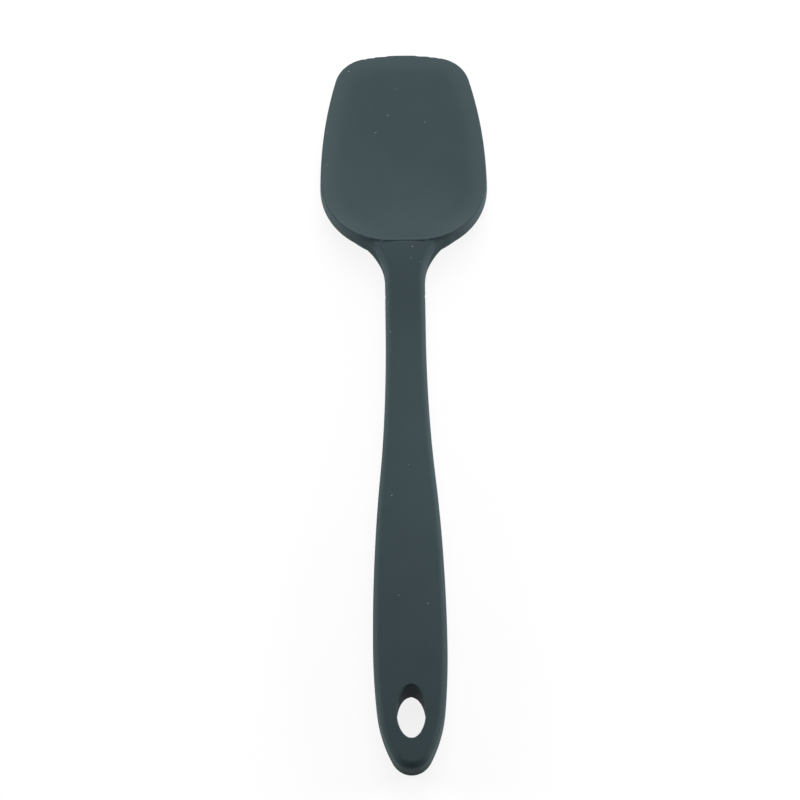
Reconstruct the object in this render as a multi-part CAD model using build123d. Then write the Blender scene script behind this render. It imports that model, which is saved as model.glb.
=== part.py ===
from build123d import *
import math
import os

# Silicone spoon spatula: a glass-filled nylon core, moulded all over in one piece of silicone.
# Sizes are in millimetres. X runs across the tool, Y from the hanging end to the tip of the head,
# and Z up from the table it lies on, face up. The origin is on the table, under the middle of the
# tool's length. A distance called "from the tail" is measured along the tool from its hanging end.

# Whole tool
tool_length = 276.0
cut_overrun = 5.0  # how far a cutting shape runs past the faces it cuts

# Handle: outline seen from above
tail_radius = 6.8
flank_radius = 48.0  # between the round tail and the long curve of the grip
grip_radius = 250.0
grip_width = 24.6
grip_from_tail = 45.0  # where the grip is widest
neck_width = 13.7
neck_straight = 15.0  # from the end of the taper to where the shoulders begin
fan_from_neck_end = 4.0  # where the top of the neck begins to flare
fan_spread = 4.7  # of the flare to each side, up to the head's back
fan_overlap = 4.0  # how far the flare runs on inside the head

# Handle: side view
tail_height = 10.2
grip_height = 13.8
crest_from_tail = 56.0  # where the handle is thickest
waist_height = 11.8
neck_height = 9.4
flare_height = 11.0  # where the handle's top meets the back of the head
waist_share = 0.555  # where the waist lies, from the grip to the neck
crown_radius = 90.0  # of the handle's top, across
handle_edge_radius = 2.2
flare_lift = 2.4  # how far the flare's underside lifts off the table at the head

# Hanging hole
hole_width = 9.6
hole_length = 17.9
hole_from_tail = 18.5
hole_bevel = 0.6

# Head: outline seen from above, at its widest level
head_width = 60.0
head_length = 81.1
shoulder_run = 17.9  # from the neck's end to the head's back
back_corner_share = 0.425  # radii of the outline, of the head's width
side_share = 2.97
front_corner_share = 0.217
front_share = 1.17

# Head: heights
rim_height_back = 11.2
rim_height_front = 4.9
widest_level = 3.8
belly_height = 1.0
shoulder_height = 8.0  # the shoulders slope up to this level on the back wall
wall_draft = 1.0  # the outer wall leans in by this up to the rim's highest point
rim_bevel = 0.3
widest_edge_radius = 0.7

# Head: face
face_depth = 2.4  # of its hollow, where it is deepest
# of the head's length from its back, of the rim's drop from back to front, and of the hollow's depth
face_shares = (
    (0.0, 0.0, 0.0), (0.12, 0.14, 0.55), (0.3, 0.34, 1.0), (0.55, 0.6, 0.85), (0.8, 0.81, 0.4), (1.0, 1.0, 0.0)
)
hollow_shares = ((1.0, 0.0), (0.6, 0.8), (0.0, 1.0))  # of the head's half width, of the depth there

# Head: belly
belly_side_run = 15.0
belly_back_run = 9.0
belly_front_run = 24.0
belly_shares = ((0.0, 0.0), (0.12, 0.36), (0.45, 0.7), (1.0, 1.0))  # of the rise, of the run, outwards

# Nylon core in the handle
side_cover = 2.2  # silicone between the core and the handle's sides
flat_cover = 2.6  # silicone above and below the core
hole_cover = 2.0  # silicone between the core and the hanging hole
core_wall = 2.0
core_web = 2.2  # the level plate between the upper and the lower pockets
rib_thickness = 1.8
rib_pitch = 14.0
rib_count = 9  # spaces between ribs
window_length = 5.0  # of the window through the web in each space
window_width = 4.0

# Nylon core in the head
paddle_thickness = 1.8
paddle_from_belly = 1.3
paddle_side_margin = 11.0  # the silicone outside the paddle stays limp
paddle_back_margin = 7.0
paddle_front_margin = 16.0
anchor_diameter = 6.0
anchor_pitch = 10.0
anchor_rows = 4
anchor_columns = 3
first_anchors_from_head_back = 27.1
bar_rise = 1.0  # of the neck bar's underside where it enters the head
bar_heights = (8.0, 6.2, 4.1)  # top of the neck bar: at the head's back, midway, at its end
bar_reach = 17.0  # of the neck bar into the head


def along(from_tail):
    """Y of a place given by its distance from the tail."""
    return from_tail - tool_length / 2


back_corner_radius = head_width * back_corner_share
side_radius = head_width * side_share
front_corner_radius = head_width * front_corner_share
front_radius = head_width * front_share
head_back = tool_length - head_length  # where the head begins, from the tail
widest_from_tail = head_back + back_corner_radius
neck_end = head_back - shoulder_run
neck_from_tail = neck_end - neck_straight  # where the taper ends
fan_start = neck_end + fan_from_neck_end
fan_run = head_back - fan_start
fan_radius = (fan_run**2 + fan_spread**2) / (2 * fan_spread)
upward_share = 0.9  # of a face's normal: where more of it points up, the face looks up


def mix(start, end, share):
    return start + (end - start) * share


def polar(centre, radius, angle):
    turn = math.radians(angle)
    return (centre[0] + radius * math.cos(turn), centre[1] + radius * math.sin(turn))


def heading(start, end):
    return math.degrees(math.atan2(end[1] - start[1], end[0] - start[0]))


def arc(centre, radius, start_angle, end_angle):
    angles = (start_angle, mix(start_angle, end_angle, 1 / 2), end_angle)
    return ThreePointArc(*[polar(centre, radius, angle) for angle in angles])


def crossing(centre_a, radius_a, centre_b, radius_b):
    """The crossing of two circles that lies to the left of the line from a to b."""
    dx, dy = centre_b[0] - centre_a[0], centre_b[1] - centre_a[1]
    apart = math.hypot(dx, dy)
    reach = (apart**2 + radius_a**2 - radius_b**2) / (2 * apart)
    side = math.sqrt(radius_a**2 - reach**2)
    x = centre_a[0] + (reach * dx - side * dy) / apart
    y = centre_a[1] + (reach * dy + side * dx) / apart
    return (x, y)


def both_sides(right_half):
    """A face from the right half of its outline, given as edges from bottom to top."""
    return make_face(right_half + [edge.mirror(Plane.YZ) for edge in right_half])


def shoulder():
    """Radius, centre and turn of the hollow curve that leads from the neck to the head's back."""
    back_centre = (head_width / 2 - back_corner_radius, along(widest_from_tail))
    run, offset = widest_from_tail - neck_end, neck_width / 2 - back_centre[0]
    radius = (offset**2 + run**2 - back_corner_radius**2) / (2 * (back_corner_radius - offset))
    centre = (neck_width / 2 + radius, along(neck_end))
    return radius, centre, heading(centre, back_centre)


def head_outline(height, side_inset=0.0, back_inset=0.0, front_inset=0.0, shoulders=False):
    """The head's outline at a height, drawn in from its widest outline by the insets."""
    half = head_width / 2 - side_inset
    scale = half / (head_width / 2)
    back_r, nose_r, front_r = (
        radius * scale for radius in (back_corner_radius, front_corner_radius, front_radius)
    )
    back, front = along(head_back + back_inset), along(tool_length - front_inset)
    stretch = (front - back - back_r) / (tool_length - widest_from_tail)
    side_r = side_radius * stretch**2 / scale
    back_centre = (half - back_r, back + back_r)
    side_centre = (half - side_r, back + back_r)
    front_centre = (0, front - front_r)
    nose_centre = crossing(side_centre, side_r - nose_r, front_centre, front_r - nose_r)
    side_end = heading(side_centre, nose_centre)
    nose_end = heading(front_centre, nose_centre)
    hollow_radius, hollow_centre, turn = shoulder()
    if shoulders:
        start = [
            Line((0, along(neck_end)), (neck_width / 2, along(neck_end))),
            arc(hollow_centre, hollow_radius, 180, turn),
        ]
    else:
        start = [
            Line((0, back), (back_centre[0], back)),
            arc(back_centre, back_r, -90, turn - 180),
        ]
    right_half = [
        *start,
        arc(back_centre, back_r, turn - 180, 0),
        arc(side_centre, side_r, 0, side_end),
        arc(nose_centre, nose_r, side_end, nose_end),
        arc(front_centre, front_r, nose_end, 90),
    ]
    return Pos(0, 0, height) * both_sides(right_half)


def handle_plan():
    """The handle's outline: round tail, grip, long taper, neck and flare."""
    grip, neck = grip_width / 2, neck_width / 2
    tail_centre = (0, along(tail_radius))
    grip_centre = (grip - grip_radius, along(grip_from_tail))
    flank_centre = crossing(
        grip_centre, grip_radius - flank_radius, tail_centre, flank_radius - tail_radius
    )
    tail_end = heading(flank_centre, tail_centre)
    grip_start = heading(grip_centre, flank_centre)
    # the taper is two equal arcs, curving out and then in
    taper_run, taper_fall = neck_from_tail - grip_from_tail, grip - neck
    taper_radius = (taper_run**2 + taper_fall**2) / (4 * taper_fall)
    taper_turn = math.degrees(math.asin(taper_run / 2 / taper_radius))
    fan_rise = fan_run + fan_overlap
    fan_turn = math.degrees(math.asin(fan_rise / fan_radius))
    fan_half = neck + fan_radius * (1 - math.cos(math.radians(fan_turn)))
    end = along(head_back + fan_overlap)
    right_half = [
        arc(tail_centre, tail_radius, -90, tail_end),
        arc(flank_centre, flank_radius, tail_end, grip_start),
        arc(grip_centre, grip_radius, grip_start, 0),
        arc((grip - taper_radius, along(grip_from_tail)), taper_radius, 0, taper_turn),
        arc((neck + taper_radius, along(neck_from_tail)), taper_radius, 180 + taper_turn, 180),
        Line((neck, along(neck_from_tail)), (neck, along(fan_start))),
        arc((neck + fan_radius, along(fan_start)), fan_radius, 180, 180 - fan_turn),
        Line((fan_half, end), (0, end)),
    ]
    return both_sides(right_half)


def side_view(*edges):
    """Edges drawn as (Y, Z), set upright along the middle of the tool."""
    return [Plane.YZ * edge for edge in edges]


def handle_top():
    """The line of the handle's top in side view, from tail to flare."""
    waist_from_tail = mix(grip_from_tail, neck_from_tail, waist_share)
    return Spline(
        (along(-cut_overrun), tail_height),
        (along(crest_from_tail), grip_height),
        (along(waist_from_tail), waist_height),
        (along(neck_from_tail), neck_height),
        (along(head_back), flare_height),
        (along(head_back + fan_overlap + cut_overrun), flare_height),
    )


def under_crown():
    """All that lies below the handle's gently crowned top."""
    path = side_view(handle_top())[0]
    half = grip_width
    drop = crown_radius - math.sqrt(crown_radius**2 - half**2)
    depth = grip_height + rim_height_back
    top = tail_height
    section = make_face(
        [
            ThreePointArc((-half, top - drop), (0, top), (half, top - drop)),
            Line((half, top - drop), (half, top - depth)),
            Line((half, top - depth), (-half, top - depth)),
            Line((-half, top - depth), (-half, top - drop)),
        ]
    )
    start = Plane(origin=(0, along(-cut_overrun), 0), x_dir=(1, 0, 0), z_dir=(0, -1, 0))
    return sweep(start * section, path=path)


def under_flare():
    """The space below the flare, whose underside lifts off the table towards the head."""
    start, end = along(neck_end), along(head_back + fan_overlap)
    line = Spline((start, 0), (end, flare_lift), tangents=((1, 0), (1, flare_lift / fan_radius)))
    outline = side_view(
        line,
        Line((end, flare_lift), (end + cut_overrun, flare_lift)),
        Line((end + cut_overrun, flare_lift), (end + cut_overrun, -cut_overrun)),
        Line((end + cut_overrun, -cut_overrun), (start, -cut_overrun)),
        Line((start, -cut_overrun), (start, 0)),
    )
    return Pos(-grip_width, 0, 0) * extrude(make_face(outline), 2 * grip_width, dir=(1, 0, 0))


def is_long_edge(edge):
    """True of the edges round top and bottom, false of upright edges and those that end inside."""
    box = edge.bounding_box().size
    upright = box.Z > neck_height / 2
    crease = edge.geom_type == GeomType.LINE and box.X > box.Y
    return not upright and not crease and edge.center().Y < along(head_back)


def handle():
    """The handle and the flare, with the long edges rounded."""
    blank = extrude(handle_plan(), grip_height + rim_height_back) & under_crown()
    blank = blank - under_flare()
    return fillet([edge for edge in blank.edges() if is_long_edge(edge)], handle_edge_radius)


def full_head():
    """The head as if it were solid: a flat-bottomed pan with leaning walls and hollow shoulders."""
    wall_sections = [head_outline(widest_level, shoulders=True)]
    for level in (shoulder_height, rim_height_back):
        lean = wall_draft * (level - widest_level) / (rim_height_back - widest_level)
        wall_sections.append(head_outline(level, lean, lean, lean))
    wall = loft(wall_sections, ruled=True)
    sections = [
        head_outline(
            mix(belly_height, widest_level, rise_share),
            belly_side_run * (1 - run_share),
            belly_back_run * (1 - run_share),
            belly_front_run * (1 - run_share),
            shoulders=run_share == 1,
        )
        for rise_share, run_share in belly_shares
    ]
    return wall + loft(sections)


def above_face(growth=0.0):
    """The space above the face, which falls from back to front and is hollow across. It can be lowered."""
    top = rim_height_back + grip_height
    half, reach = head_width / 2, head_width / 2 + cut_overrun
    left = [(-half * width_share, depth_share) for width_share, depth_share in hollow_shares]
    right = [(-x, depth_share) for x, depth_share in reversed(left)]
    sections = []
    for length_share, drop_share, depth_share in face_shares:
        level = mix(rim_height_back, rim_height_front, drop_share) - growth
        depth = face_depth * depth_share
        curve = Spline(*[(x, level - depth * share) for x, share in left + right[1:]])
        outline = [
            curve,
            Line((half, level), (reach, level)),
            Line((reach, level), (reach, top)),
            Line((reach, top), (-reach, top)),
            Line((-reach, top), (-reach, level)),
            Line((-reach, level), (-half, level)),
        ]
        place = Plane(
            origin=(0, along(mix(head_back, tool_length, length_share)), 0), x_dir=(1, 0, 0), z_dir=(0, -1, 0)
        )
        sections.append(place * make_face(outline))
    front = extrude(sections[-1], cut_overrun, dir=(0, 1, 0))
    return loft(sections) + front


def level_span(edge):
    box = edge.bounding_box()
    return box.min.Z, box.max.Z


def head():
    """The head with its hollow face and its softened edges."""
    solid = full_head() - above_face()
    tolerance = rim_bevel / 10
    widest_edges = [
        edge
        for edge in solid.edges()
        if max(abs(level - widest_level) for level in level_span(edge)) < tolerance
    ]
    solid = fillet(widest_edges, widest_edge_radius)
    face = max(
        (face for face in solid.faces() if face.normal_at().Z > upward_share), key=lambda face: face.area
    )
    return chamfer(face.edges(), rim_bevel)


def hanging_hole():
    """The oval hole for a hook or a peg."""
    oval = Ellipse(hole_width / 2, hole_length / 2)
    return Pos(0, along(hole_from_tail), 0) * extrude(oval, 2 * grip_height, both=True)


def outside():
    """The whole outside of the tool, as one solid."""
    tool = head() + (handle() - above_face(rim_bevel))
    pierced = tool - hanging_hole()
    rims = new_edges(tool, hanging_hole(), combined=pierced)
    return chamfer([edge for edge in rims if edge.bounding_box().size.Z < hole_width / 2], hole_bevel)


def core_side_view():
    """The core's height in side view, as a solid that spans the handle's width."""
    waist_from_tail = mix(grip_from_tail, neck_from_tail, waist_share)
    bar_end = head_back + bar_reach
    bar_middle = mix(head_back, bar_end, 1 / 2)
    top = [
        (0, tail_height - flat_cover),
        (crest_from_tail, grip_height - flat_cover),
        (waist_from_tail, waist_height - flat_cover),
        (neck_from_tail, neck_height - flat_cover),
        (head_back, bar_heights[0]),
        (bar_middle, bar_heights[1]),
        (bar_end, bar_heights[2]),
    ]
    bottom = [
        (bar_end, belly_height + paddle_from_belly + bar_rise),
        (head_back, flat_cover + bar_rise),
        (neck_from_tail, flat_cover),
        (0, flat_cover),
    ]
    points = [(along(from_tail), height) for from_tail, height in top + bottom]
    outline = side_view(*Polyline(*points, close=True).edges())
    return Pos(-grip_width, 0, 0) * extrude(make_face(outline), 2 * grip_width, dir=(1, 0, 0))


def core_plan(inset):
    """The handle's outline drawn in by the inset, up to the neck's end."""
    length = neck_end + cut_overrun
    handle_part = Pos(0, along(length / 2 - cut_overrun), 0) * Rectangle(2 * grip_width, length)
    return offset(handle_plan(), -inset) & handle_part


def handle_pockets():
    """Pockets above and below the web, between ribs, and the windows through the web."""
    start = hole_from_tail + hole_length / 2 + hole_cover + core_wall
    middle = (neck_height + flat_cover) / 2
    row = core_plan(side_cover + core_wall)
    height = grip_height
    upper = extrude(Pos(0, 0, middle + core_web / 2) * row, height)
    lower = extrude(Pos(0, 0, middle - core_web / 2 - height) * row, height)
    pockets, windows = [], []
    for number in range(rib_count):
        space = rib_pitch - rib_thickness
        centre = start + rib_pitch * number + space / 2
        bay = Pos(0, along(centre), middle) * Box(2 * grip_width, space, 2 * height)
        pockets += [upper & bay, lower & bay]
        windows.append(Pos(0, along(centre), middle) * Box(window_width, window_length, 2 * core_web))
    return pockets + windows


def paddle():
    """The thin plate in the head, with the round holes that anchor the silicone."""
    level = belly_height + paddle_from_belly
    outline = head_outline(level, paddle_side_margin, paddle_back_margin, paddle_front_margin)
    plate = extrude(outline, paddle_thickness)
    for row in range(anchor_rows):
        columns = anchor_columns - row % 2
        for column in range(columns):
            x = anchor_pitch * (column - (columns - 1) / 2)
            y = along(head_back + first_anchors_from_head_back + anchor_pitch * row)
            plate -= Pos(x, y, level) * Cylinder(anchor_diameter / 2, 2 * paddle_thickness + cut_overrun)
    return plate


def core():
    """The nylon core: eye, ribbed handle beam, neck bar and head paddle, in one piece."""
    beam = extrude(core_plan(side_cover), grip_height)
    bar_length = head_back + bar_reach - neck_from_tail
    bar = Pos(0, along(neck_from_tail + bar_length / 2), grip_height / 2) * Box(
        neck_width - 2 * side_cover, bar_length, grip_height
    )
    beam = (beam + bar) & core_side_view()
    eye = Ellipse(hole_width / 2 + hole_cover, hole_length / 2 + hole_cover)
    beam -= Pos(0, along(hole_from_tail), 0) * extrude(eye, 2 * grip_height, both=True)
    return beam - handle_pockets() + paddle()


if __name__ == "__main__":
    os.makedirs("parts", exist_ok=True)
    nylon_core = core()
    silicone_jacket = outside() - nylon_core
    export_step(silicone_jacket, "parts/silicone_jacket.step")
    export_step(nylon_core, "parts/nylon_core.step")
    print("silicone_jacket", silicone_jacket.volume, "nylon_core", nylon_core.volume)
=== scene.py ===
import math

import bpy
import numpy as np
from mathutils import Matrix, Vector


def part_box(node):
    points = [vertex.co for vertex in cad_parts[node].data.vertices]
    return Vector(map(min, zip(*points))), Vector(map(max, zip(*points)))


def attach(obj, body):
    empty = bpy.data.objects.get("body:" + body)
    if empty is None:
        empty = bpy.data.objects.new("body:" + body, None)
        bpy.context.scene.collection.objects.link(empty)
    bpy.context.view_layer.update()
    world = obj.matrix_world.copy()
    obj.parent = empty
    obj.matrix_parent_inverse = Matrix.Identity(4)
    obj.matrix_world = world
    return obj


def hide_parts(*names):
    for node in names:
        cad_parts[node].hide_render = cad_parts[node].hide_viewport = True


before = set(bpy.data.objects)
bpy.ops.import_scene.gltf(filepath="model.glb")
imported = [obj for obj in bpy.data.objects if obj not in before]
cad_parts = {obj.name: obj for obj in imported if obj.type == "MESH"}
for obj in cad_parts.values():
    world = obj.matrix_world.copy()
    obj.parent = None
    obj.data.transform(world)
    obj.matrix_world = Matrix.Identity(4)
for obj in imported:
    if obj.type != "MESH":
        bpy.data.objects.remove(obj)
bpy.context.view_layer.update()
mm = 0.001
print("frame loaded")

# Sizes are in millimetres. y is measured from the tail of the tool, z from the table.
toolLength = 276.0


def mix(start, end, share):
    return start + (end - start) * share


def smoothStep(low, high, value):
    t = np.clip((value - low) / (high - low), 0.0, 1.0)
    return t * t * (3.0 - 2.0 * t)


def roundMax(a, b, radius):
    # what is inside both, with the edge between them rounded off
    corner = np.hypot(np.maximum(radius + a, 0.0), np.maximum(radius + b, 0.0))
    return np.minimum(-radius, np.maximum(a, b)) + corner


def roundMin(a, b, radius):
    # what is inside either, with a hollow fillet between them
    corner = np.hypot(np.maximum(radius - a, 0.0), np.maximum(radius - b, 0.0))
    return np.maximum(radius, np.minimum(a, b)) - corner


def smoothTable(table, steps=40):
    # a soft curve through the rows of a table, flat at its start
    rows = np.array(table, float)
    span = np.hypot(*(rows[1:] - rows[:-1]).T[:2])
    t = np.concatenate([[0.0], np.cumsum(span)])
    slopes = np.gradient(rows, t, axis=0)
    slopes[0, 0] = 0.0
    out = []
    for i in range(len(rows) - 1):
        width = t[i + 1] - t[i]
        for u in np.linspace(0.0, 1.0, steps, endpoint=False):
            out.append(
                rows[i] * (2 * u**3 - 3 * u**2 + 1) + rows[i + 1] * (3 * u**2 - 2 * u**3)
                + slopes[i] * width * (u**3 - 2 * u**2 + u) + slopes[i + 1] * width * (u**3 - u**2)
            )
    out.append(rows[-1])
    return np.array(out)


def crossing(xa, ya, ra, xb, yb, rb):
    # the crossing of two circles to the left of the line from a to b
    dx, dy = xb - xa, yb - ya
    apart = np.hypot(dx, dy)
    reach = (apart**2 + ra**2 - rb**2) / (2 * apart)
    side = np.sqrt(ra**2 - reach**2)
    return xa + (reach * dx - side * dy) / apart, ya + (reach * dy + side * dx) / apart


handleSizes = {
    # the outline from the tail to the neck
    "tailRadius": 6.8, "flankRadius": 48.0, "gripRadius": 250.0, "gripWidth": 24.6, "gripAt": 45.0,
    "neckWidth": 13.7, "neckAt": 162.0, "neckStraight": 15.0,
    "fanStart": 181.0, "fanSpread": 4.7, "fanOverlap": 4.0,  # the flare, and how far it runs into the head
    # heights of the top line, which starts before the tail and ends past the head's back
    "tailHeight": 10.2, "gripHeight": 13.8, "crestAt": 56.0, "waistHeight": 11.8, "waistShare": 0.555,
    "neckHeight": 9.4, "flareHeight": 11.1, "topBefore": 5.0, "topPast": 10.0,
    "crownRadius": 90.0, "edgeRadius": 2.2,
    "flareLift": 2.64, "liftRun": 1.15,  # how far the flare's underside rises, and over how much of its run
    "holeWidth": 9.6, "holeLength": 17.9, "holeAt": 18.9, "holeEdge": 0.3,
}
headSizes = {
    # the radii of the outline are shares of the width
    "width": 60.0, "backAt": 194.9, "backCorner": 0.425, "side": 2.97, "frontCorner": 0.217, "front": 1.17,
    "rimBack": 11.2, "rimFront": 4.9, "faceDepth": 2.4,
    # of the head's length, of the drop of the rim and of the depth of the hollow
    "faceShares": (
        (0, 0, 0), (0.12, 0.14, 0.55), (0.3, 0.34, 1), (0.55, 0.6, 0.85), (0.8, 0.81, 0.4), (1, 1, 0),
    ),
    "hollowShares": ((0, 1), (0.6, 0.8), (1, 0)),  # of the half width, of the depth there
    "widestLevel": 3.8, "bellyHeight": 1.0, "shoulderHeight": 8.0,
    "draft": 0.5,  # how far the wall leans in from its widest level to the rim
    "rimEdge": 0.4, "widestEdge": 0.8,
    # how the face's cut rises just outside the rim, over what run, and then for each mm behind the head
    "rimRise": 0.6, "rimRiseRun": 1.2, "backRise": 0.3,
    # the fine bead round the rim: its radius, and how far it stands above the face at the head's back;
    # it sinks away to the front, where this is below 0
    "beadRadius": 0.5, "beadBack": 0.06, "beadFront": -0.3, "beadBlend": 0.35, "beadRun": 60.0,
    "thinMargin": 9.0,  # how far in from the head's outline the painted sheen reaches
    # how far in from the outline the belly reaches its lowest level, and the curve of its section
    "bellySide": 15.0, "bellyBack": 9.0, "bellyFront": 24.0,
    "bellyShares": ((0, 0), (0.12, 0.36), (0.45, 0.7), (1, 1), (1.3, 1.06)),
    # the hollow fillet where the handle runs into the head: its radius and its least one, where it starts
    # past the neck's end and is full before the head's back, and how it fades below the flare's top
    "junction": 2.2, "junctionLeast": 0.05, "junctionStart": 3.0, "junctionFull": 1.0,
    "junctionFade": 1.8, "junctionGone": 0.2,
}
hs, ns = handleSizes, headSizes
halfHead = ns["width"] / 2
neckEnd = hs["neckAt"] + hs["neckStraight"]
backCornerRadius = ns["width"] * ns["backCorner"]
widestAt = ns["backAt"] + backCornerRadius
fanRun = ns["backAt"] - hs["fanStart"]
fanRadius = (fanRun**2 + hs["fanSpread"] ** 2) / (2 * hs["fanSpread"])
hairsBreadth = 1e-3  # keeps the half widths of an outline in rising order where it runs straight across


def arcPiece(cx, cy, radius, start, end):
    # angles in degrees; an outline runs from tail to tip with the outside on its right
    return {"c": (cx, cy), "r": radius, "a": math.radians(start), "b": math.radians(end)}


def pointOn(piece, angle):
    return piece["c"][0] + piece["r"] * np.cos(angle), piece["c"][1] + piece["r"] * np.sin(angle)


def outlineOf(pieces, arcSteps=400, lineSteps=50):
    # an outline keeps its pieces and a table of its half width, for the sign of a distance
    xs, ys = [], []
    for piece in pieces:
        if "r" in piece:
            x, y = pointOn(piece, np.linspace(piece["a"], piece["b"], arcSteps))
        else:
            x, y = (np.linspace(piece["p"][axis], piece["q"][axis], lineSteps) for axis in (0, 1))
        xs.append(x)
        ys.append(y)
    return {"pieces": pieces, "x": np.concatenate(xs), "y": np.concatenate(ys)}


def distanceTo(outline, x, y):
    x = np.abs(x)
    best = np.full(np.broadcast(x, y).shape, 1e9)
    for piece in outline["pieces"]:
        if "r" in piece:
            cx, cy = piece["c"]
            angle = np.arctan2(y - cy, x - cx)
            middle, half = (piece["a"] + piece["b"]) / 2, abs(piece["b"] - piece["a"]) / 2
            off = np.abs((angle - middle + math.pi) % (2 * math.pi) - math.pi)
            near = np.abs(np.hypot(x - cx, y - cy) - piece["r"])
            ends = [pointOn(piece, piece[key]) for key in "ab"]
            far = np.minimum(*(np.hypot(x - endX, y - endY) for endX, endY in ends))
            best = np.minimum(best, np.where(off <= half, near, far))
        else:
            (px, py), (qx, qy) = piece["p"], piece["q"]
            lx, ly = qx - px, qy - py
            t = np.clip(((x - px) * lx + (y - py) * ly) / (lx * lx + ly * ly), 0, 1)
            best = np.minimum(best, np.hypot(x - px - t * lx, y - py - t * ly))
    halfWidth = np.interp(y, outline["y"], outline["x"], left=-1, right=-1)
    return np.where(x < halfWidth, -best, best)


def degrees(x0, y0, x1, y1):
    return math.degrees(math.atan2(y1 - y0, x1 - x0))


def handleOutline():
    grip, neck = hs["gripWidth"] / 2, hs["neckWidth"] / 2
    gx, gy = grip - hs["gripRadius"], hs["gripAt"]
    tail, flank = hs["tailRadius"], hs["flankRadius"]
    fx, fy = crossing(gx, gy, hs["gripRadius"] - flank, 0, tail, flank - tail)
    tailEnd, gripStart = degrees(fx, fy, 0, tail), degrees(gx, gy, fx, fy)
    run, fall = hs["neckAt"] - hs["gripAt"], grip - neck
    taper = (run**2 + fall**2) / (4 * fall)
    turn = math.degrees(math.asin(run / 2 / taper))
    fan = math.degrees(math.asin((fanRun + hs["fanOverlap"]) / fanRadius))
    fanHalf = neck + fanRadius * (1 - math.cos(math.radians(fan)))
    fanEnd = ns["backAt"] + hs["fanOverlap"]
    return outlineOf([
        arcPiece(0, tail, tail, -90, tailEnd),
        arcPiece(fx, fy, flank, tailEnd, gripStart),
        arcPiece(gx, gy, hs["gripRadius"], gripStart, 0),
        arcPiece(grip - taper, hs["gripAt"], taper, 0, turn),
        arcPiece(neck + taper, hs["neckAt"], taper, 180 + turn, 180),
        {"p": (neck, hs["neckAt"]), "q": (neck, hs["fanStart"])},
        arcPiece(neck + fanRadius, hs["fanStart"], fanRadius, 180, 180 - fan),
        {"p": (fanHalf, fanEnd), "q": (0, fanEnd + hairsBreadth)},
    ])


def headCircles(side, back, front):
    # the circles of the head's outline, drawn in from its sides, back and front
    half = halfHead - side
    scale = half / halfHead
    backR, noseR, frontR = (ns["width"] * ns[key] * scale for key in ("backCorner", "frontCorner", "front"))
    cy = ns["backAt"] + back + backR
    stretch = (toolLength - front - cy) / (toolLength - widestAt)
    sideR = ns["width"] * ns["side"] * stretch**2 / scale
    frontY = toolLength - front - frontR
    noseX, noseY = crossing(half - sideR, cy, sideR - noseR, 0, frontY, frontR - noseR)
    return half, backR, cy, sideR, noseX, noseY, noseR, frontY, frontR


def headOutline(inset, shoulders):
    half, backR, cy, sideR, noseX, noseY, noseR, frontY, frontR = headCircles(inset, inset, inset)
    neck = hs["neckWidth"] / 2
    offset, run = neck - (halfHead - backCornerRadius), widestAt - neckEnd
    hollow = (offset**2 + run**2 - backCornerRadius**2) / (2 * (backCornerRadius - offset))
    turn = degrees(neck + hollow, neckEnd, halfHead - backCornerRadius, widestAt)
    backX = half - backR
    if shoulders:
        start = [
            {"p": (0, neckEnd), "q": (neck, neckEnd + hairsBreadth)},
            arcPiece(neck + hollow, neckEnd, hollow, 180, turn),
            arcPiece(backX, cy, backR, turn - 180, 0),
        ]
    else:
        start = [
            {"p": (0, cy - backR), "q": (backX, cy - backR + hairsBreadth)},
            arcPiece(backX, cy, backR, -90, 0),
        ]
    sideEnd = degrees(half - sideR, cy, noseX, noseY)
    noseEnd = degrees(0, frontY, noseX, noseY)
    return outlineOf(start + [
        arcPiece(half - sideR, cy, sideR, 0, sideEnd),
        arcPiece(noseX, noseY, noseR, sideEnd, noseEnd),
        arcPiece(0, frontY, frontR, noseEnd, 90),
    ])


def headHalfWidth(y, side, back, front):
    half, backR, cy, sideR, noseX, noseY, noseR, frontY, frontR = headCircles(side, back, front)
    sideX = half - sideR
    reach = np.hypot(noseX - sideX, noseY - cy)
    sideEnd = cy + sideR * (noseY - cy) / reach
    reach = np.hypot(noseX, noseY - frontY)
    noseEnd = frontY + frontR * (noseY - frontY) / reach

    def onCircle(cx, centreY, radius):
        return cx + np.sqrt(np.maximum(radius**2 - (y - centreY) ** 2, 0))

    width = np.where(y <= cy, onCircle(half - backR, cy, backR), onCircle(sideX, cy, sideR))
    width = np.where(y > sideEnd, onCircle(noseX, noseY, noseR), width)
    width = np.where(y > noseEnd, onCircle(0, frontY, frontR), width)
    return np.where((y < cy - backR) | (y > frontY + frontR), -1.0, width)


def solveSections(x, y, table, insets, halvings=26):
    # the row of the table whose outline goes through each point, by halving
    low, high = np.zeros_like(x), np.full_like(x, len(table) - 1.0)
    steps = np.arange(len(table))
    for _ in range(halvings):
        middle = (low + high) / 2
        shares = [np.interp(middle, steps, table[:, column]) for column in range(1, table.shape[1])]
        inside = np.abs(x) < headHalfWidth(y, *insets(shares))
        high = np.where(inside, middle, high)
        low = np.where(inside, low, middle)
    return np.interp((low + high) / 2, steps, table[:, 0])


# a map of the belly's level, wide enough for the head
bellyGrid = {"step": 0.2, "halfWidth": 33.0, "start": 170.0, "end": 282.0}
mapStep = bellyGrid["step"]
mapX = np.arange(0.0, bellyGrid["halfWidth"], mapStep)
mapY = np.arange(bellyGrid["start"], bellyGrid["end"], mapStep)
gridX, gridY = np.meshgrid(mapX, mapY, indexing="ij")
bellyTable = smoothTable(ns["bellyShares"])


def bellyInsets(shares):
    return tuple(ns[key] * (1 - shares[0]) for key in ("bellySide", "bellyBack", "bellyFront"))


bellyZ = mix(ns["bellyHeight"], ns["widestLevel"], solveSections(gridX, gridY, bellyTable, bellyInsets))


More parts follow.
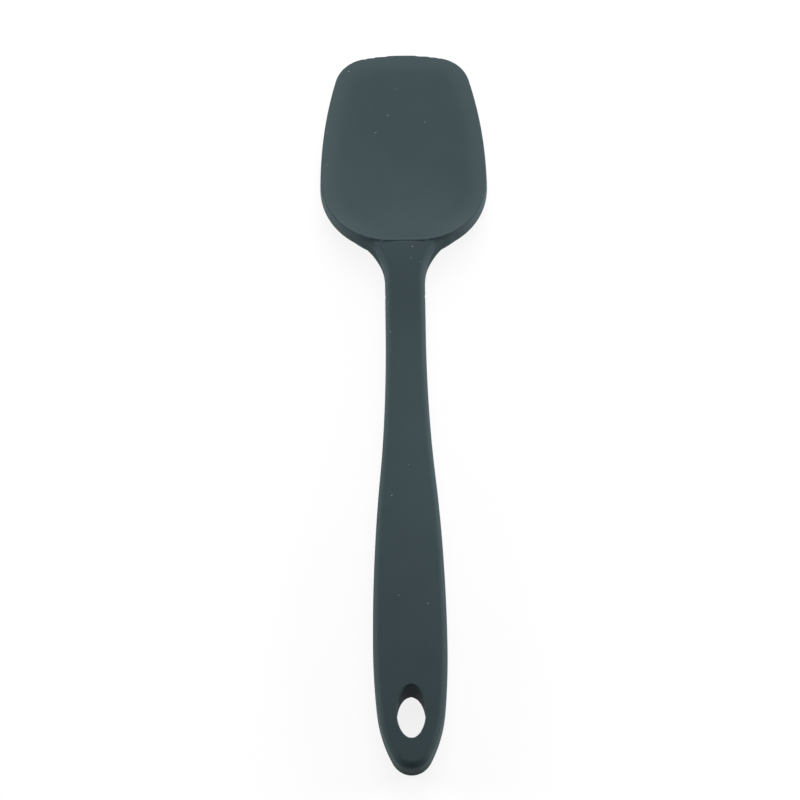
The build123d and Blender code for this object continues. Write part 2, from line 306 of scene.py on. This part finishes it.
def withSlope(height):
    # a map of levels, and of the share that turns a height over the level into a distance
    slopeX, slopeY = np.gradient(height, mapStep)
    return height, 1.0 / np.sqrt(1.0 + slopeX**2 + slopeY**2)


bellyMap = withSlope(bellyZ)
print("belly worked out")


def readMap(grid, x, y):
    # the value between the four nearest points of the map
    u = np.clip(np.abs(x) / mapStep, 0, len(mapX) - 1.001)
    v = np.clip((y - mapY[0]) / mapStep, 0, len(mapY) - 1.001)
    i, j = u.astype(int), v.astype(int)
    fu, fv = u - i, v - j
    return (
        grid[i, j] * (1 - fu) * (1 - fv) + grid[i + 1, j] * fu * (1 - fv)
        + grid[i, j + 1] * (1 - fu) * fv + grid[i + 1, j + 1] * fu * fv
    )


def splineThrough(points, steps=2000):
    # a natural cubic through points, as a dense table
    px, py = np.array(points, float).T
    n = len(px)
    h = np.diff(px)
    a = np.zeros((n, n))
    b = np.zeros(n)
    a[0, 0] = a[-1, -1] = 1
    for i in range(1, n - 1):
        a[i, i - 1], a[i, i], a[i, i + 1] = h[i - 1], 2 * (h[i - 1] + h[i]), h[i]
        b[i] = 6 * ((py[i + 1] - py[i]) / h[i] - (py[i] - py[i - 1]) / h[i - 1])
    m = np.linalg.solve(a, b)
    xs = np.linspace(px[0], px[-1], steps)
    i = np.clip(np.searchsorted(px, xs) - 1, 0, n - 2)
    d0, d1, w = xs - px[i], px[i + 1] - xs, h[i]
    bent = (m[i] * d1**3 + m[i + 1] * d0**3) / (6 * w)
    return xs, bent + (py[i] / w - m[i] * w / 6) * d1 + (py[i + 1] / w - m[i + 1] * w / 6) * d0


waistAt = mix(hs["gripAt"], hs["neckAt"], hs["waistShare"])
topLine = splineThrough([
    (-hs["topBefore"], hs["tailHeight"]), (hs["crestAt"], hs["gripHeight"]), (waistAt, hs["waistHeight"]),
    (hs["neckAt"], hs["neckHeight"]),
    (ns["backAt"], hs["flareHeight"]), (ns["backAt"] + hs["topPast"], hs["flareHeight"]),
])
faceRows = [
    (mix(ns["backAt"], toolLength, run), mix(ns["rimBack"], ns["rimFront"], drop), ns["faceDepth"] * depth)
    for run, drop, depth in ns["faceShares"]
]
rimLine = splineThrough([(run, level) for run, level, _ in faceRows])
depthLine = splineThrough([(run, depth) for run, _, depth in faceRows])
hollowRows = list(ns["hollowShares"])
hollowLine = splineThrough([(-x, share) for x, share in reversed(hollowRows)] + hollowRows[1:])
handleShape = handleOutline()
wallShapes = []  # the head's outline at three levels: its widest one, its shoulders and its rim
for level in (ns["widestLevel"], ns["shoulderHeight"], ns["rimBack"]):
    lean = ns["draft"] * (level - ns["widestLevel"]) / (ns["rimBack"] - ns["widestLevel"])
    wallShapes.append((level, headOutline(lean, level == ns["widestLevel"])))


def handleField(x, y, z):
    side = distanceTo(handleShape, x, y)
    crown = hs["crownRadius"] - np.sqrt(hs["crownRadius"] ** 2 - np.minimum(np.abs(x), halfHead) ** 2)
    top = z - (np.interp(y, *topLine) - crown)
    flare = (y - neckEnd) / (ns["backAt"] + hs["fanOverlap"] - neckEnd)
    lift = hs["flareLift"] * smoothStep(0.0, hs["liftRun"], flare)
    return roundMax(side, np.maximum(top, lift - z), hs["edgeRadius"])


def wallField(x, y, z):
    near = [distanceTo(shape, x, y) for _, shape in wallShapes]
    levels = [level for level, _ in wallShapes]
    low = mix(near[0], near[1], np.clip((z - levels[0]) / (levels[1] - levels[0]), 0, 1))
    high = mix(near[1], near[2], (z - levels[1]) / (levels[2] - levels[1]))
    return np.where(z < levels[1], low, high)


def fullHeadField(x, y, z):
    belly = (readMap(bellyMap[0], x, y) - z) * readMap(bellyMap[1], x, y)
    return roundMax(wallField(x, y, z), belly, ns["widestEdge"])


def faceLevel(x, y):
    hollow = np.interp(np.abs(x) / halfHead, *hollowLine)
    return np.interp(y, *rimLine) - np.interp(y, *depthLine) * np.maximum(hollow, 0)


def faceField(x, y, z):
    # outside the rim the face's cut rises clear of the handle's top
    outside = smoothStep(0.0, ns["rimRiseRun"], distanceTo(wallShapes[-1][1], x, y))
    behind = np.maximum(ns["backAt"] - y, 0)
    return z - faceLevel(x, y) - ns["rimRise"] * outside - ns["backRise"] * behind


def beadField(x, y, z):
    # a fine round bead just inside the rim's outline
    along = np.clip((y - ns["backAt"]) / ns["beadRun"], 0, 1)
    middle = faceLevel(x, y) + mix(ns["beadBack"], ns["beadFront"], along) - ns["beadRadius"]
    return np.hypot(distanceTo(wallShapes[-1][1], x, y) + ns["beadRadius"], z - middle) - ns["beadRadius"]


def holeField(x, y):
    # how far a point lies outside the oval, close to it
    a, b = hs["holeWidth"] / 2, hs["holeLength"] / 2
    u, v = x / a, (y - hs["holeAt"]) / b
    slope = np.hypot(u / a, v / b)
    return (np.hypot(u, v) - 1) * np.hypot(u, v) / np.maximum(slope, 1e-4)


def bodyField(x, y, z):
    # the hollow fillet runs up the flare's sides and fades out below its top
    top = hs["flareHeight"]
    fade = 1 - smoothStep(top - ns["junctionFade"], top - ns["junctionGone"], z)
    grown = smoothStep(neckEnd + ns["junctionStart"], ns["backAt"] - ns["junctionFull"], y)
    join = ns["junctionLeast"] + ns["junction"] * fade * grown
    body = roundMin(fullHeadField(x, y, z), handleField(x, y, z), join)
    body = roundMax(body, faceField(x, y, z), ns["rimEdge"])
    body = roundMin(body, beadField(x, y, z), ns["beadBlend"])
    return roundMax(body, -holeField(x, y), hs["holeEdge"])


def skinOf(field, xs, ys, zs):
    # one point in each cell that the surface crosses, and a square face round each crossed edge
    x, y, z = np.meshgrid(xs, ys, zs, indexing="ij")
    value = field(x, y, z)
    inside = value < 0
    n = np.array(value.shape) - 1

    def corner(grid, i, j, k):
        return grid[i:n[0] + i, j:n[1] + j, k:n[2] + k]

    count = sum(corner(inside, i, j, k).astype(int) for i in (0, 1) for j in (0, 1) for k in (0, 1))
    active = (count > 0) & (count < 8)
    index = np.full(active.shape, -1)
    index[active] = np.arange(active.sum())
    total, weight = np.zeros((active.sum(), 3)), np.zeros(active.sum())
    grids = (x, y, z)
    for axis in range(3):
        others = [a for a in range(3) if a != axis]
        for u in (0, 1):
            for v in (0, 1):
                first, last = [0, 0, 0], [0, 0, 0]
                first[others[0]] = last[others[0]] = u
                first[others[1]] = last[others[1]] = v
                last[axis] = 1
                fa, fb = corner(value, *first)[active], corner(value, *last)[active]
                cross = (fa < 0) != (fb < 0)
                t = np.where(cross, fa / np.where(cross, fa - fb, 1), 0)
                for a in range(3):
                    pa, pb = corner(grids[a], *first)[active], corner(grids[a], *last)[active]
                    total[:, a] += np.where(cross, mix(pa, pb, t), 0)
                weight += cross
    points = total / weight[:, None]
    faces = []
    for axis in range(3):
        u, v = (axis + 1) % 3, (axis + 2) % 3
        low = [slice(None)] * 3
        high = [slice(None)] * 3
        low[axis], high[axis] = slice(0, -1), slice(1, None)
        flip = inside[tuple(low)] != inside[tuple(high)]
        where = np.argwhere(flip)
        where = where[(where[:, u] > 0) & (where[:, v] > 0) & (where[:, u] < n[u]) & (where[:, v] < n[v])]
        outward = inside[tuple(low)][tuple(where.T)]
        ring = []
        for du, dv in ((-1, -1), (0, -1), (0, 0), (-1, 0)):
            cell = where.copy()
            cell[:, u] += du
            cell[:, v] += dv
            ring.append(index[tuple(cell.T)])
        quad = np.stack(ring, 1)
        quad[~outward] = quad[~outward][:, ::-1]
        faces.append(quad)
    return points, np.concatenate(faces)


def slopeOf(field, points, step=0.01):
    slopes = []
    for axis in range(3):
        shift = np.zeros(3)
        shift[axis] = step
        slopes.append((field(*(points + shift).T) - field(*(points - shift).T)) / (2 * step))
    return np.stack(slopes, 1)


leastSlope = 0.05  # keeps a step back on to the surface short where the field is flat


def settle(field, points, faces, rounds=4, share=0.5, longest=0.3):
    # the points are evened out along the surface and brought back on to it
    edges = np.concatenate([faces[:, [i, (i + 1) % 4]] for i in range(4)])
    count = np.bincount(edges[:, 0], minlength=len(points)).astype(float)
    for turn in range(rounds):
        if turn < rounds - 1:
            near = [np.bincount(edges[:, 0], points[edges[:, 1], a], len(points)) for a in range(3)]
            points = mix(points, np.stack(near, 1) / count[:, None], share)
        slope = slopeOf(field, points)
        step = field(*points.T)[:, None] * slope / np.maximum((slope**2).sum(1), leastSlope)[:, None]
        points = points - np.clip(step, -longest, longest)
    return points


bodyGrid = {
    "fine": 0.5, "coarse": 1.25,  # the cell's size, and its length along the plain part of the handle
    "quickFine": 1.0, "quickCoarse": 2.5,
    # where the long cells start and end; the end also sets the head's cells so that none is pinched
    "fineTail": 34.0, "fineHead": 174.7,
    "beforeTail": 1.2, "pastTip": 1.5, "halfWidth": 32.0, "low": -0.77, "high": 15.6,
}
fine, coarse = bodyGrid["fine"], bodyGrid["coarse"]
ySteps = np.concatenate([
    np.arange(-bodyGrid["beforeTail"], bodyGrid["fineTail"], fine),
    np.arange(bodyGrid["fineTail"], bodyGrid["fineHead"], coarse),
    np.arange(bodyGrid["fineHead"], toolLength + bodyGrid["pastTip"], fine),
])
halfCells = int(bodyGrid["halfWidth"] / fine)
xSteps = (np.arange(-halfCells, halfCells + 1) + 0.5) * fine
zSteps = np.arange(bodyGrid["low"], bodyGrid["high"], fine)
points, faces = skinOf(bodyField, xSteps, ySteps, zSteps)
points = settle(bodyField, points, faces)
print("body skin", len(points), "points", len(faces), "faces")


def meshObject(name, points, faces):
    mesh = bpy.data.meshes.new(name)
    mesh.from_pydata([tuple(p) for p in points], [], [tuple(int(i) for i in f) for f in faces])
    mesh.validate()
    mesh.shade_smooth()
    obj = bpy.data.objects.new(name, mesh)
    bpy.context.scene.collection.objects.link(obj)
    return obj


place = np.array([0.0, -toolLength / 2, 0.0])
body = meshObject("siliconeBody", (points + place) * mm, faces)
normals = slopeOf(bodyField, points)
normals /= np.linalg.norm(normals, axis=1)[:, None]
body.data.normals_split_custom_set_from_vertices([tuple(n) for n in normals])
# painted sheen on the head's margin at each point, for the light its sloping margins catch: 1 at its
# outline, 0 further in and on the handle
margin = distanceTo(wallShapes[0][1], points[:, 0], points[:, 1])
paintedSheenFrom = smoothStep(ns["backAt"], ns["backAt"] + ns["thinMargin"], points[:, 1])
paintedSheenEdge = smoothStep(-ns["thinMargin"], 0, margin) * paintedSheenFrom
paintedSheenLayer = body.data.attributes.new("paintedSheenEdge", "FLOAT", "POINT")
paintedSheenLayer.data.foreach_set("value", paintedSheenEdge.astype(np.float32))
skinBox = [points.min(0) + place, points.max(0) + place]
cadBox = [np.array(v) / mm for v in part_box("silicone_jacket")]
print("body box and its CAD box", *(v.round(2) for v in skinBox + cadBox))


def linear(hexColour):
    channels = [int(hexColour[i:i + 2], 16) / 255 for i in (1, 3, 5)]
    return tuple(c / 12.92 if c <= 0.04045 else ((c + 0.055) / 1.055) ** 2.4 for c in channels) + (1.0,)


def addNode(tree, kind, settings=None, links=None, **values):
    node = tree.nodes.new(kind)
    for key, value in (settings or {}).items():
        setattr(node, key, value)
    for key, value in values.items():
        node.inputs[key.replace("_", " ")].default_value = value
    for key, source in (links or {}).items():
        tree.links.new(source, node.inputs[key])
    return node


def newMaterial(name):
    material = bpy.data.materials.new(name)
    material.use_nodes = True
    material.node_tree.nodes.clear()
    return material, material.node_tree


siliconeLook = {
    "dark": "#2B383B", "light": "#313E41", "mottleSize": 14.0,  # the two tones and the size of their clouds
    "thin": "#364346", "flash": "#505D60",  # the head's margins, painted paler as sheen, and the flash, painted paler as a highlight
    "lint": "#B4BDBB", "lintRadius": 0.25, "lintPitch": 5.2,
    "lintShare": 0.45,  # share of the lint's colour in a speck
    "roughness": 0.68, "roughnessSpread": 0.06, "ior": 1.41, "specular": 0.15,
    "grainSize": 0.22, "grainDepth": 0.012, "grainStrength": 0.4,
}


def mouldedSilicone(name, dark, light):
    # silicone rubber from a blasted mould: a soft, even matt with a fine tooth and no clear reflections
    material, tree = newMaterial(name)
    look = siliconeLook
    coords = addNode(tree, "ShaderNodeTexCoord").outputs["Object"]
    mottle = addNode(
        tree, "ShaderNodeTexNoise", links={"Vector": coords},
        Scale=1 / (look["mottleSize"] * mm), Detail=3.0,
    )
    tone = addNode(tree, "ShaderNodeMix", {"data_type": "RGBA"}, {0: mottle.outputs["Fac"]})
    tone.inputs[6].default_value = linear(dark)
    tone.inputs[7].default_value = linear(light)
    # painted sheen: the head's margins are painted paler, for the light they catch where they slope
    paintedSheenLayer = addNode(tree, "ShaderNodeAttribute", {"attribute_name": "paintedSheenEdge"})
    bare = addNode(
        tree, "ShaderNodeMix", {"data_type": "RGBA"}, {0: paintedSheenLayer.outputs["Fac"], 6: tone.outputs[2]},
    )
    bare.inputs[7].default_value = linear(look["thin"])
    # silicone draws lint: a speck shows where a cell's point lies at the skin
    specks = addNode(
        tree, "ShaderNodeTexVoronoi", links={"Vector": coords}, Scale=1 / (look["lintPitch"] * mm),
    )
    reach = look["lintRadius"] / look["lintPitch"]
    lint = addNode(
        tree, "ShaderNodeMapRange", links={"Value": specks.outputs["Distance"]},
        From_Min=reach, From_Max=0.5 * reach, To_Max=look["lintShare"],
    )
    skin = addNode(
        tree, "ShaderNodeMix", {"data_type": "RGBA"}, {0: lint.outputs["Result"], 6: bare.outputs[2]},
    )
    skin.inputs[7].default_value = linear(look["lint"])
    # a blasted mould's grain is about 0.05 mm, drawn some four times as coarse so that it shows
    grain = addNode(
        tree, "ShaderNodeTexNoise", links={"Vector": coords},
        Scale=1 / (look["grainSize"] * mm), Detail=2.0,
    )
    rough = addNode(
        tree, "ShaderNodeMapRange", links={"Value": grain.outputs["Fac"]},
        To_Min=look["roughness"] - look["roughnessSpread"],
        To_Max=look["roughness"] + look["roughnessSpread"],
    )
    bump = addNode(
        tree, "ShaderNodeBump", links={"Height": grain.outputs["Fac"]},
        Strength=look["grainStrength"], Distance=look["grainDepth"] * mm,
    )
    shader = addNode(
        tree, "ShaderNodeBsdfPrincipled",
        links={
            "Base Color": skin.outputs[2], "Roughness": rough.outputs["Result"],
            "Normal": bump.outputs["Normal"],
        },
        IOR=look["ior"], Specular_IOR_Level=look["specular"],
    )
    addNode(tree, "ShaderNodeOutputMaterial", links={"Surface": shader.outputs["BSDF"]})
    return material


silicone = mouldedSilicone("mouldedSilicone", siliconeLook["dark"], siliconeLook["light"])
body.data.materials.append(silicone)
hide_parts("silicone_jacket")
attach(body, "root")


# the thin trimmed flash along the line where the two halves of the mould meet
flashSizes = {
    "handleLevel": 3.0, "headLevel": 3.8,  # height of the parting line above the table
    "riseBefore": 20.0, "risePast": 10.0,  # how far before and past the neck's end it changes level
    "radius": 0.24, "spacing": 0.7, "sides": 6,
    "waveLength": 5.0, "leastShare": 0.4,  # the trimmed edge's waves, and its least share of the radius
    "waveLow": 0.35, "waveHigh": 0.65,  # what the noise gives where the edge is thinnest and fullest
    "seed": 4.0,
}


def flashPath(rounds=6, longest=0.5):
    # points round the body at the parting line, from the outlines, brought on to the skin
    shape, head = handleShape, wallShapes[0][1]
    low, high = shape["y"] < neckEnd, head["y"] > neckEnd
    x = np.concatenate([shape["x"][low], head["x"][high]])
    y = np.concatenate([shape["y"][low], head["y"][high]])
    run = np.concatenate([[0.0], np.cumsum(np.hypot(np.diff(x), np.diff(y)))])
    at = np.linspace(0, run[-1], int(run[-1] / flashSizes["spacing"]))
    riseStart, riseEnd = neckEnd - flashSizes["riseBefore"], neckEnd + flashSizes["risePast"]
    rise = smoothStep(riseStart, riseEnd, np.interp(at, run, y))
    level = mix(flashSizes["handleLevel"], flashSizes["headLevel"], rise)
    right = np.stack([np.interp(at, run, x), np.interp(at, run, y), level], 1)
    for _ in range(rounds):
        slope = slopeOf(bodyField, right) * (1, 1, 0)
        step = bodyField(*right.T) / np.maximum((slope**2).sum(1), leastSlope)
        right = right - slope * np.clip(step, -longest, longest)[:, None]
    right[[0, -1], 0] = 0.0
    return np.concatenate([right, (right * (-1, 1, 1))[-2:0:-1]])


def flashTree():
    tree = bpy.data.node_groups.new("flashRidge", "GeometryNodeTree")
    sockets = {}
    for name, kind in (
        ("Path", "Geometry"), ("Radius", "Float"), ("Spacing", "Float"), ("Sides", "Int"),
        ("Wave Length", "Float"), ("Least Share", "Float"), ("Seed", "Float"), ("Finish", "Material"),
    ):
        sockets[name] = tree.interface.new_socket(name, in_out="INPUT", socket_type="NodeSocket" + kind)
    tree.interface.new_socket("Ridge", in_out="OUTPUT", socket_type="NodeSocketGeometry")
    given = addNode(tree, "NodeGroupInput").outputs
    line = addNode(tree, "GeometryNodeMeshToCurve", links={"Mesh": given["Path"]})
    spaced = addNode(
        tree, "GeometryNodeResampleCurve", {"mode": "LENGTH"},
        {"Curve": line.outputs["Curve"], "Length": given["Spacing"]},
    )
    where = addNode(tree, "GeometryNodeInputPosition")
    rate = addNode(tree, "ShaderNodeMath", {"operation": "DIVIDE"}, {1: given["Wave Length"]})
    rate.inputs[0].default_value = 1.0
    waves = addNode(
        tree, "ShaderNodeTexNoise", {"noise_dimensions": "4D"},
        {"Vector": where.outputs["Position"], "W": given["Seed"], "Scale": rate.outputs[0]}, Detail=2.0,
    )
    share = addNode(
        tree, "ShaderNodeMapRange", links={"Value": waves.outputs["Fac"], "To Min": given["Least Share"]},
        From_Min=flashSizes["waveLow"], From_Max=flashSizes["waveHigh"], To_Max=1.0,
    )
    tapered = addNode(
        tree, "GeometryNodeSetCurveRadius",
        links={"Curve": spaced.outputs["Curve"], "Radius": share.outputs["Result"]},
    )
    ring = addNode(
        tree, "GeometryNodeCurvePrimitiveCircle",
        links={"Resolution": given["Sides"], "Radius": given["Radius"]},
    )
    ridge = addNode(
        tree, "GeometryNodeCurveToMesh",
        links={"Curve": tapered.outputs["Curve"], "Profile Curve": ring.outputs["Curve"]},
    )
    smooth = addNode(tree, "GeometryNodeSetShadeSmooth", links={"Geometry": ridge.outputs["Mesh"]})
    real = addNode(tree, "GeometryNodeRealizeInstances", links={"Geometry": smooth.outputs["Geometry"]})
    painted = addNode(
        tree, "GeometryNodeSetMaterial",
        links={"Geometry": real.outputs["Geometry"], "Material": given["Finish"]},
    )
    addNode(tree, "NodeGroupOutput", links={"Ridge": painted.outputs["Geometry"]})
    return tree, sockets


def addFlash():
    path = (flashPath() + place) * mm
    mesh = bpy.data.meshes.new("partingFlash")
    mesh.from_pydata([tuple(p) for p in path], [(i, (i + 1) % len(path)) for i in range(len(path))], [])
    flash = bpy.data.objects.new("partingFlash", mesh)
    bpy.context.scene.collection.objects.link(flash)
    tree, sockets = flashTree()
    modifier = flash.modifiers.new("flashRidge", "NODES")
    modifier.node_group = tree
    for name, value in (
        ("Radius", flashSizes["radius"] * mm), ("Spacing", flashSizes["spacing"] * mm),
        ("Sides", flashSizes["sides"]), ("Wave Length", flashSizes["waveLength"] * mm),
        ("Least Share", flashSizes["leastShare"]), ("Seed", flashSizes["seed"]), ("Finish", paintedHighlightFlash),
    ):
        modifier[sockets[name].identifier] = value
    ready = flash.evaluated_get(bpy.context.evaluated_depsgraph_get())
    flash.data = bpy.data.meshes.new_from_object(ready)
    flash.modifiers.clear()
    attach(flash, "root")
    print("parting flash", len(path), "points", len(flash.data.polygons), "faces")


# the flash is painted paler than the body: a painted highlight along the parting line
paintedHighlightFlash = mouldedSilicone("paintedHighlightFlash", siliconeLook["flash"], siliconeLook["flash"])
addFlash()

nylonLook = {
    "colour": "#26272A", "fibre": "#3A3B3F", "fibreSize": 0.6, "fibreDepth": 0.02, "fibreStrength": 0.3,
    "fibreStart": 0.5, "fibreFull": 0.75,  # the noise's values between which the flecks come in
    "roughness": 0.55, "ior": 1.53,
}


def glassFilledNylon():
    # moulded black nylon with short glass fibres: dull, with fine pale flecks at the skin
    material, tree = newMaterial("glassFilledNylon")
    look = nylonLook
    coords = addNode(tree, "ShaderNodeTexCoord").outputs["Object"]
    # a fibre is about 0.01 mm thick and 0.3 mm long, so the flecks are drawn coarser than they are
    flecks = addNode(
        tree, "ShaderNodeTexNoise", links={"Vector": coords},
        Scale=1 / (look["fibreSize"] * mm), Detail=4.0,
    )
    share = addNode(
        tree, "ShaderNodeMapRange", links={"Value": flecks.outputs["Fac"]},
        From_Min=look["fibreStart"], From_Max=look["fibreFull"],
    )
    tone = addNode(tree, "ShaderNodeMix", {"data_type": "RGBA"}, {0: share.outputs["Result"]})
    tone.inputs[6].default_value = linear(look["colour"])
    tone.inputs[7].default_value = linear(look["fibre"])
    bump = addNode(
        tree, "ShaderNodeBump", links={"Height": flecks.outputs["Fac"]},
        Strength=look["fibreStrength"], Distance=look["fibreDepth"] * mm,
    )
    shader = addNode(
        tree, "ShaderNodeBsdfPrincipled",
        links={"Base Color": tone.outputs[2], "Normal": bump.outputs["Normal"]},
        Roughness=look["roughness"], IOR=look["ior"],
    )
    addNode(tree, "ShaderNodeOutputMaterial", links={"Surface": shader.outputs["BSDF"]})
    return material


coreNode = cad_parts["nylon_core"]
if not coreNode.material_slots:
    coreNode.data.materials.append(None)
for coreSlot in coreNode.material_slots:
    coreSlot.material = glassFilledNylon()
print("materials made")

studio = {
    # the camera's angle above the table, its distance, the point it looks at and its roll
    "elevation": 64.4, "distance": 1100.0, "aim": (-2.33, 0.2, 0.0), "roll": 0.766,
    "focalPixels": 3151.5, "framePixels": 800.0,  # the lens and the picture's side, both in pixels
    "sensor": 36.0,
    "nearClip": 0.01, "farClip": 20.0,  # in metres
    "sky": 0.15,  # strength of the pale room on all sides
    "floor": "#FFFFFF", "floorLift": 0.85,  # share of the floor that the camera sees as plain white
    "floorHalf": 0.9,  # half the floor's side in metres
    "floorDrop": 0.05,  # how far the floor lies under the tool's flat back, to keep the two faces apart
}
# where each soft lamp stands, its size and its power
lamps = {
    "headSoftbox": ((60.0, 900.0, 420.0), 900.0, 7.7),
    "highSoftbox": ((60.0, 620.0, 900.0), 900.0, 4.5),
    "topSoftbox": ((0.0, 0.0, 1100.0), 900.0, 0.6),
    "rightSoftbox": ((950.0, 250.0, 200.0), 600.0, 13.5),
    "leftSoftbox": ((-950.0, 250.0, 200.0), 600.0, 12.0),
}


def addCamera():
    data = bpy.data.cameras.new("photoCamera")
    data.lens = studio["focalPixels"] / studio["framePixels"] * studio["sensor"]
    data.sensor_width = studio["sensor"]
    data.clip_start, data.clip_end = studio["nearClip"], studio["farClip"]
    camera = bpy.data.objects.new("photoCamera", data)
    bpy.context.scene.collection.objects.link(camera)
    tilt, roll = math.radians(studio["elevation"]), math.radians(studio["roll"])
    forward = Vector((0, math.cos(tilt), -math.sin(tilt)))
    right = Vector((1, 0, 0))
    up = right.cross(forward)
    turnedRight = right * math.cos(roll) - up * math.sin(roll)
    turnedUp = right * math.sin(roll) + up * math.cos(roll)
    matrix = Matrix((turnedRight, turnedUp, -forward)).transposed().to_4x4()
    matrix.translation = (Vector(studio["aim"]) - forward * studio["distance"]) * mm
    camera.matrix_world = matrix
    bpy.context.scene.camera = camera


def addLamp(name, spot, size, power):
    # a round soft lamp turned to the middle of the tool
    data = bpy.data.lights.new(name, "AREA")
    data.shape, data.size, data.energy = "DISK", size * mm, power
    lamp = bpy.data.objects.new(name, data)
    bpy.context.scene.collection.objects.link(lamp)
    lamp.location = Vector(spot) * mm
    lamp.rotation_euler = (-Vector(spot)).to_track_quat("-Z", "Y").to_euler()


def seenRays(tree):
    # 1 for the rays that look at the background: the camera's, and those of gloss and glass
    path = addNode(tree, "ShaderNodeLightPath")
    either = addNode(
        tree, "ShaderNodeMath", {"operation": "MAXIMUM"},
        {0: path.outputs["Is Camera Ray"], 1: path.outputs["Is Glossy Ray"]},
    )
    every = addNode(
        tree, "ShaderNodeMath", {"operation": "MAXIMUM"},
        {0: either.outputs[0], 1: path.outputs["Is Transmission Ray"]},
    )
    return every.outputs[0]


def addFloor():
    # matt white paint that takes the tool's shadow
    half, level = studio["floorHalf"], -studio["floorDrop"] * mm
    corners = [(x * half, y * half, level) for x, y in ((-1, -1), (1, -1), (1, 1), (-1, 1))]
    floor = meshObject("floor", corners, [(0, 1, 2, 3)])
    material, tree = newMaterial("paintedFloor")
    paint = addNode(tree, "ShaderNodeBsdfDiffuse", Color=linear(studio["floor"]))
    white = addNode(tree, "ShaderNodeEmission", Color=(1, 1, 1, 1), Strength=1.0)
    seen = addNode(tree, "ShaderNodeMath", {"operation": "MULTIPLY"}, {0: seenRays(tree)})
    seen.inputs[1].default_value = studio["floorLift"]
    mixer = addNode(
        tree, "ShaderNodeMixShader", links={0: seen.outputs[0], 1: paint.outputs[0], 2: white.outputs[0]},
    )
    addNode(tree, "ShaderNodeOutputMaterial", links={"Surface": mixer.outputs[0]})
    floor.data.materials.append(material)


def addWorld():
    world = bpy.data.worlds.new("studioWorld")
    bpy.context.scene.world = world
    world.use_nodes = True
    tree = world.node_tree
    tree.nodes.clear()
    light = addNode(tree, "ShaderNodeBackground", Color=(1, 1, 1, 1), Strength=studio["sky"])
    seen = addNode(tree, "ShaderNodeBackground", Color=(1, 1, 1, 1), Strength=1.0)
    mixer = addNode(
        tree, "ShaderNodeMixShader", links={0: seenRays(tree), 1: light.outputs[0], 2: seen.outputs[0]},
    )
    addNode(tree, "ShaderNodeOutputWorld", links={"Surface": mixer.outputs[0]})


addCamera()
addFloor()
addWorld()
for name, (spot, size, power) in lamps.items():
    addLamp(name, spot, size, power)
bpy.context.scene.view_settings.view_transform = "Standard"
print("studio built")
